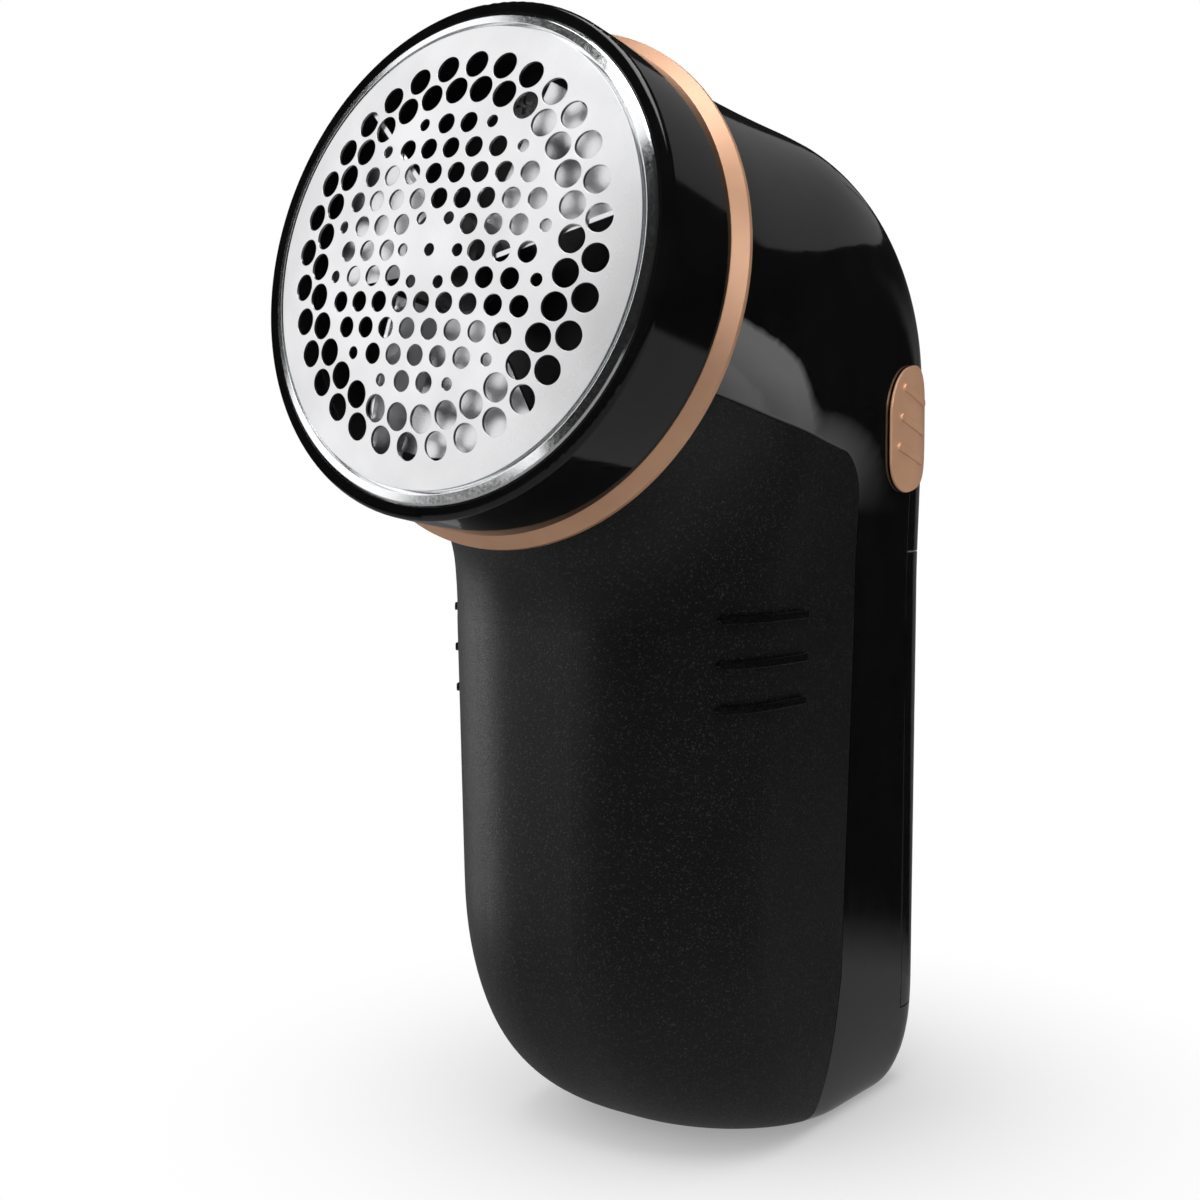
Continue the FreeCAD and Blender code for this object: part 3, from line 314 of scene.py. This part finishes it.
def softbox(name, direction, distance, width, height, radiance, only=(), skip=()):
    """Rectangular light aimed at the shaver, seen in reflections but not by the camera.

    It lights only the nodes in only, or all but those in skip, as flags and cards do in a studio."""
    data = bpy.data.lights.new(name, "AREA")
    data.shape = "RECTANGLE"
    data.size = width
    data.size_y = height
    data.energy = radiance * math.pi * width * height
    lamp = bpy.data.objects.new(name, data)
    lamp.location = LIGHT_TARGET + Vector(direction).normalized() * distance
    lamp.rotation_euler = (LIGHT_TARGET - lamp.location).to_track_quat("-Z", "Y").to_euler()
    lamp.visible_camera = False
    scene.collection.objects.link(lamp)
    if only or skip:
        linked = bpy.data.collections.new(name + "_linked")
        for node in only or skip:
            linked.objects.link(nodes[node])
        for item in linked.collection_objects:
            item.light_linking.link_state = "INCLUDE" if only else "EXCLUDE"
        lamp.light_linking.receiver_collection = linked


GLOSSY = ("main_housing", "rear_cover", "battery_door", "head_collar")
CUP = ("lint_container", "grip_ribs")
# name, direction from the target, then distance, width and height in metres, and radiance
softbox("front_left", (-0.66, -0.65, 0.36), 0.8, 1.15, 1.15, 1.22, skip=GLOSSY + CUP)
softbox("cup_left", (-0.95, -0.28, 0.12), 0.8, 0.45, 0.8, 4.0, only=CUP)
softbox("copper_right", (0.95, -0.30, 0.35), 0.8, 0.5, 0.5, 2.2, only=("trim_ring",))
softbox("knob_right", (0.72, -0.70, 0.30), 0.8, 0.5, 0.5, 9.0, only=("switch_knob",))
softbox("rear_top", (0.05, 0.86, 0.50), 0.8, 0.62, 0.34, 0.21)
softbox("overhead", (0.1, -0.25, 1.0), 0.9, 0.7, 0.7, 4.4, skip=CUP)
softbox("cup_top", (0.1, -0.25, 1.0), 0.9, 0.7, 0.7, 2.0, only=CUP)


FLOOR_RADIUS = 0.7
FLOOR_SIDES = 64
FLOOR_DROP = 0.0001           # keeps the floor just under the shaver's flat base
FLOOR_WHITE = 0.86            # how much light it gives back to the camera
FLOOR_SHADE = 0.25            # share of its own light that keeps the shadow under the shaver soft
FLOOR_REACH = (12.0, 80.0)    # millimetres from the shaver over which the shadow fades
FLOOR_BOUNCE = 0.45           # brightness of the floor for surfaces that it lights
FLOOR_SHEEN = 0.30            # and for polished surfaces that mirror it
FLOOR_SEEN = (0.27, 0.30)     # sines of the angle at which the floor starts to show in them


def build_floor():
    """Round pale floor that melts into the backdrop."""
    mesh = bpy.data.meshes.new("floor")
    turns = [2 * math.pi * k / FLOOR_SIDES for k in range(FLOOR_SIDES)]
    corners = [(FLOOR_RADIUS * math.cos(turn), FLOOR_RADIUS * math.sin(turn), -FLOOR_DROP)
               for turn in turns]
    mesh.from_pydata(corners, [], [list(range(FLOOR_SIDES))])
    floor = bpy.data.objects.new("floor", mesh)
    scene.collection.objects.link(floor)
    g = Graph("floor")
    far = g.add("ShaderNodeVectorMath")
    far.operation = "LENGTH"
    g.link(g.millimetres, far.inputs[0])
    geometry = g.add("ShaderNodeNewGeometry")
    view = g.add("ShaderNodeSeparateXYZ")
    g.link(geometry.outputs["Incoming"], view.inputs[0])
    path = g.add("ShaderNodeLightPath")
    clear = g.add("ShaderNodeBsdfTransparent")
    melting = g.spread(far.outputs["Value"], FLOOR_SHADE, 1.0, *FLOOR_REACH)
    seen = g.mix(melting, g.matt(FLOOR_WHITE), g.glow(BACKDROP))
    # a glossy surface sees the floor only where it looks down on it steeply
    grazing = g.spread(view.outputs["Z"], 1.0, 0.0, *FLOOR_SEEN)
    mirrored = g.mix(grazing, g.glow(FLOOR_SHEEN), clear.outputs[0])
    unseen = g.mix(path.outputs["Is Glossy Ray"], g.matt(FLOOR_BOUNCE), mirrored)
    g.link(g.mix(path.outputs["Is Camera Ray"], unseen, seen), g.out.inputs["Surface"])
    mesh.materials.append(g.material)


WORLD_FILL = 0.35             # soft light on matt surfaces from all around
STUDIO_DARK = 0.012           # what polished surfaces mirror away from the backdrop
STUDIO_PALE = 0.13            # and what the backdrop adds to it
PALE_ACROSS = (0.62, 0.72)    # cosines towards the camera's aim where the backdrop starts
PALE_HEIGHT = (0.05, 0.22)    # sines of the angles above the horizon where it ends


def build_world():
    """White behind the object, dark studio in reflections, soft fill for everything else."""
    world = bpy.data.worlds.new("studio")
    scene.world = world
    world.use_nodes = True
    tree = world.node_tree
    tree.nodes.clear()
    out = tree.nodes.new("ShaderNodeOutputWorld")
    path = tree.nodes.new("ShaderNodeLightPath")

    def background(strength):
        node = tree.nodes.new("ShaderNodeBackground")
        node.inputs["Color"].default_value = (1, 1, 1, 1)
        node.inputs["Strength"].default_value = strength
        return node

    seen = background(BACKDROP)
    fill = background(WORLD_FILL)
    mirrored = background(1.0)
    # reflections: dark, with the pale backdrop standing behind the object at eye level
    place = tree.nodes.new("ShaderNodeTexCoord")
    toward = tree.nodes.new("ShaderNodeVectorMath")
    toward.operation = "DOT_PRODUCT"
    toward.inputs[1].default_value = (CAMERA_AIM.x, CAMERA_AIM.y, 0.0)
    tree.links.new(place.outputs["Generated"], toward.inputs[0])
    split = tree.nodes.new("ShaderNodeSeparateXYZ")
    tree.links.new(place.outputs["Generated"], split.inputs[0])

    def smooth(value, start, end, low, high):
        node = tree.nodes.new("ShaderNodeMapRange")
        node.interpolation_type = "SMOOTHSTEP"
        for label, number in (("From Min", start), ("From Max", end), ("To Min", low), ("To Max", high)):
            node.inputs[label].default_value = number
        tree.links.new(value, node.inputs["Value"])
        return node.outputs["Result"]

    across = smooth(toward.outputs["Value"], *PALE_ACROSS, 0.0, STUDIO_PALE)
    height = smooth(split.outputs["Z"], *PALE_HEIGHT, 1.0, 0.0)
    strength = tree.nodes.new("ShaderNodeMath")
    strength.operation = "MULTIPLY_ADD"
    strength.inputs[2].default_value = STUDIO_DARK
    tree.links.new(across, strength.inputs[0])
    tree.links.new(height, strength.inputs[1])
    tree.links.new(strength.outputs[0], mirrored.inputs["Strength"])
    inner = tree.nodes.new("ShaderNodeMixShader")
    tree.links.new(path.outputs["Is Glossy Ray"], inner.inputs[0])
    tree.links.new(fill.outputs[0], inner.inputs[1])
    tree.links.new(mirrored.outputs[0], inner.inputs[2])
    outer = tree.nodes.new("ShaderNodeMixShader")
    tree.links.new(path.outputs["Is Camera Ray"], outer.inputs[0])
    tree.links.new(inner.outputs[0], outer.inputs[1])
    tree.links.new(seen.outputs[0], outer.inputs[2])
    tree.links.new(outer.outputs[0], out.inputs["Surface"])


build_floor()
build_world()
